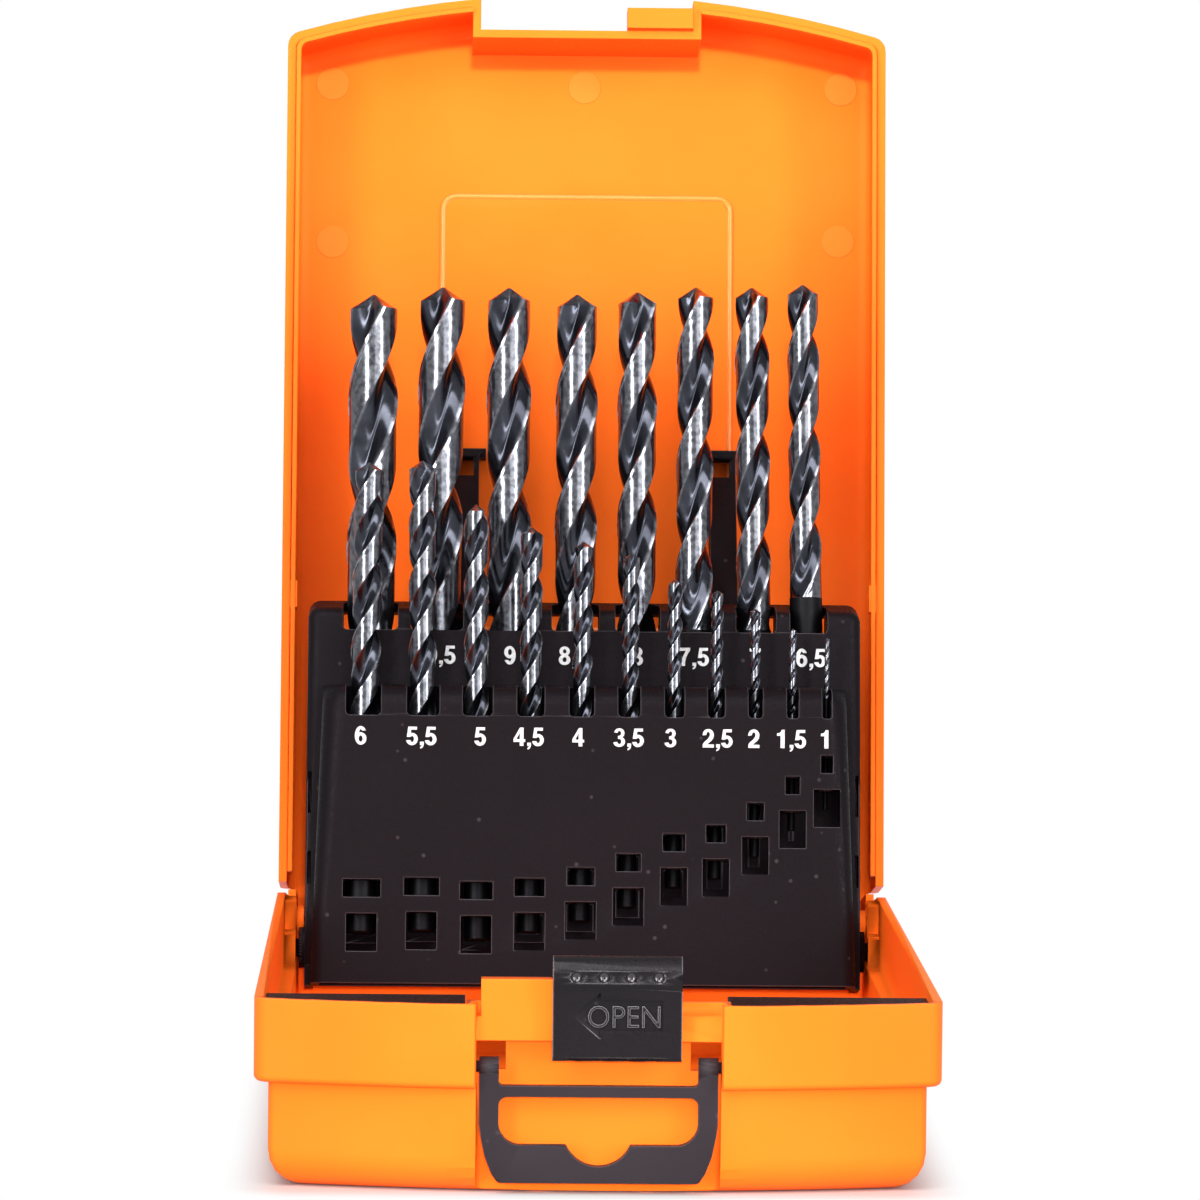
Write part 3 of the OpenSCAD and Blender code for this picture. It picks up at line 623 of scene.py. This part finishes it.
def roundedLoop(x0, x1, y0, y1, r, count=8):
    loop = []
    corners = ((x1 - r, y0 + r, -90), (x1 - r, y1 - r, 0), (x0 + r, y1 - r, 90), (x0 + r, y0 + r, 180))
    for cx, cy, start in corners:
        for k in range(count + 1):
            a = math.radians(start + 90 * k / count)
            loop.append((cx + r * math.cos(a), cy + r * math.sin(a)))
    return loop


# low ridge along a loop, with a rounded top
def makeRidge(name, loop, width, height, foot):
    count = len(loop)
    profile = [(-0.5, 0.0), (-0.36, 0.7), (0.0, 1.0), (0.36, 0.7), (0.5, 0.0)]
    points = []
    for i, (x, y) in enumerate(loop):
        before, after = loop[i - 1], loop[(i + 1) % count]
        along = Vector((after[0] - before[0], after[1] - before[1])).normalized()
        for side, up in profile:
            points.append(((x + along.y * side * width) * mm, (y - along.x * side * width) * mm,
                           (foot + up * height) * mm))
    n = len(profile)
    faces = []
    for i in range(count):
        j = (i + 1) % count
        for k in range(n - 1):
            faces.append((i * n + k, j * n + k, j * n + k + 1, i * n + k + 1))
        faces.append((i * n + n - 1, j * n + n - 1, j * n, i * n))
    mesh = bpy.data.meshes.new(name)
    mesh.from_pydata(points, [], faces)
    return newObject(name, mesh)


def finishLidPiece(piece, material):
    piece.data.transform(lidPlace)
    paint(piece, material)
    selectOnly(piece)
    bpy.ops.object.mode_set(mode="EDIT")
    bpy.ops.mesh.select_all(action="SELECT")
    bpy.ops.mesh.normals_make_consistent(inside=False)
    bpy.ops.object.mode_set(mode="OBJECT")
    bpy.ops.object.shade_smooth_by_angle(angle=math.radians(lidSet["smooth"]))
    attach(piece, "lid")


bead = makeRidge("pad_bead", roundedLoop(*lidSet["pad"], lidSet["corner"]), lidSet["beadWidth"],
                 lidSet["beadHeight"], lidSet["padRise"])
finishLidPiece(bead, orangePolished)
for number, (x, y) in enumerate(lidSet["pins"]):
    bpy.ops.mesh.primitive_cylinder_add(
        vertices=48, radius=lidSet["pinSize"] / 2 * mm, depth=lidSet["pinHeight"] * mm,
        location=(x * mm, y * mm, lidSet["pinHeight"] / 2 * mm))
    disc = bpy.context.object
    disc.name = "pin_mark_%d" % number
    bpy.ops.object.transform_apply(location=True, rotation=True, scale=True)
    finishLidPiece(disc, orangeDull)
print("lid details made")


# white to the camera, but matt where the case's shadow falls; that matt floor is a darker reddish grey,
# painted shade round the foot
floorSet = {
    "size": 8, "foot": (0.052, 0.086),           # half of the case's foot, across and deep
    "shadow": (0.014, 0.002), "paintedShadeGrey": rgb(0.5, 0.46, 0.45),
}


def makeFloor():
    bpy.ops.mesh.primitive_plane_add(size=floorSet["size"], location=(0, 0, 0))
    floor = bpy.context.object
    floor.name = "floor"
    material, tree = newMaterial("paleFloor")
    place = addNode(tree, "ShaderNodeTexCoord").outputs["Object"]
    parts = addNode(tree, "ShaderNodeSeparateXYZ", {0: place})
    squares = []
    for axis, half in zip("XY", floorSet["foot"]):
        past = calc(tree, "SUBTRACT", calc(tree, "ABSOLUTE", parts.outputs[axis]), half)
        past = calc(tree, "MAXIMUM", past, 0.0)
        squares.append(calc(tree, "MULTIPLY", past, past))
    far = calc(tree, "SQRT", calc(tree, "ADD", *squares))
    near = span(tree, far, *floorSet["shadow"])
    path = addNode(tree, "ShaderNodeLightPath").outputs
    seen = calc(tree, "MAXIMUM", path["Is Camera Ray"], path["Is Glossy Ray"])
    plain = calc(tree, "MULTIPLY", seen, calc(tree, "SUBTRACT", 1.0, near))
    # painted shade: the grey near the foot is darker and redder than the white floor
    paintedShadeGrey = addNode(tree, "ShaderNodeBsdfDiffuse", {"Color": floorSet["paintedShadeGrey"]})
    white = addNode(tree, "ShaderNodeEmission", {"Color": rgb(1, 1, 1), "Strength": 1.0})
    surface = addNode(tree, "ShaderNodeMixShader", {0: plain, 1: paintedShadeGrey.outputs[0], 2: white.outputs[0]})
    showSurface(tree, surface)
    floor.data.materials.append(material)


lightSet = {
    "world": 0.48,
    "lamps": [
        # name, place, aim, width, height, watts, seen in reflections
        ("keyLamp", (-0.25, -0.85, 1.15), (0, 0.05, 0.12), 0.8, 0.8, 12.5, True),
        ("fillLamp", (0.6, -1.2, 0.5), (0, 0, 0.08), 0.9, 0.9, 6, True),
        ("leftStrip", (-0.62, -0.85, 0.3), (0, 0, 0.1), 0.26, 0.9, 9, True),
        ("rearLamp", (0.5, 1.3, 0.9), (0, 0.1, 0.1), 0.9, 0.9, 9, False),
        ("rightStrip", (0.7, -0.7, 0.3), (0, 0, 0.1), 0.18, 0.9, 5.5, True),
    ],
    "spotSize": 0.04,
    "spots": [
        # name, place, aim, half angle, softness, watts; none is seen in reflections
        ("lidSpot", (0.0, -1.1, 0.62), (0, 0.14, 0.35), 8.9, 0.22, 80),
        ("baseSpot", (0.0, -1.2, 0.2), (0, -0.09, 0.015), 4.2, 0.5, 50),
    ],
}


def hang(data, place, aim, mirrored):
    lamp = newObject(data.name, data)
    lamp.visible_glossy = mirrored
    lamp.location = place
    lamp.rotation_euler = (Vector(aim) - Vector(place)).to_track_quat("-Z", "Y").to_euler()


def makeLights():
    world = bpy.data.worlds.new("studio")
    bpy.context.scene.world = world
    world.use_nodes = True
    tree = world.node_tree
    tree.nodes.clear()
    path = addNode(tree, "ShaderNodeLightPath").outputs
    soft = addNode(tree, "ShaderNodeBackground", {"Color": rgb(1, 1, 1), "Strength": lightSet["world"]})
    white = addNode(tree, "ShaderNodeBackground", {"Color": rgb(1, 1, 1), "Strength": 1.0})
    mix = addNode(tree, "ShaderNodeMixShader", {0: path["Is Camera Ray"], 1: soft.outputs[0],
                                                2: white.outputs[0]})
    showSurface(tree, mix, "ShaderNodeOutputWorld")
    for name, place, aim, width, height, watts, mirrored in lightSet["lamps"]:
        data = bpy.data.lights.new(name, "AREA")
        data.shape = "RECTANGLE"
        data.size = width
        data.size_y = height
        data.energy = watts
        hang(data, place, aim, mirrored)
    for name, place, aim, half, soft, watts in lightSet["spots"]:
        data = bpy.data.lights.new(name, "SPOT")
        data.spot_size = math.radians(2 * half)
        data.spot_blend = soft
        data.shadow_soft_size = lightSet["spotSize"]
        data.energy = watts
        hang(data, place, aim, False)


cameraSet = {
    "place": (-26.76, -1397.66, 187.74),      # mm
    "yaw": 0.0200, "pitch": 0.0641, "roll": 0.0103,      # radians
    "lens": 226.34, "sensor": 36, "clip": (0.05, 20),
}


def makeCamera():
    data = bpy.data.cameras.new("photoCamera")
    data.lens = cameraSet["lens"]
    data.sensor_width = cameraSet["sensor"]
    data.clip_start, data.clip_end = cameraSet["clip"]
    camera = newObject("photoCamera", data)
    yaw, pitch, roll = cameraSet["yaw"], cameraSet["pitch"], cameraSet["roll"]
    forward = Vector((math.sin(yaw) * math.cos(pitch), math.cos(yaw) * math.cos(pitch), -math.sin(pitch)))
    level = Vector((math.cos(yaw), -math.sin(yaw), 0))
    right = level * math.cos(roll) + level.cross(forward) * math.sin(roll)
    up = right.cross(forward)
    turn = Matrix((right, up, -forward)).transposed().to_4x4()
    camera.matrix_world = Matrix.Translation(Vector(cameraSet["place"]) * mm) @ turn
    bpy.context.scene.camera = camera


makeFloor()
makeLights()
makeCamera()
bpy.context.scene.view_settings.view_transform = "Standard"

print("scene ready")
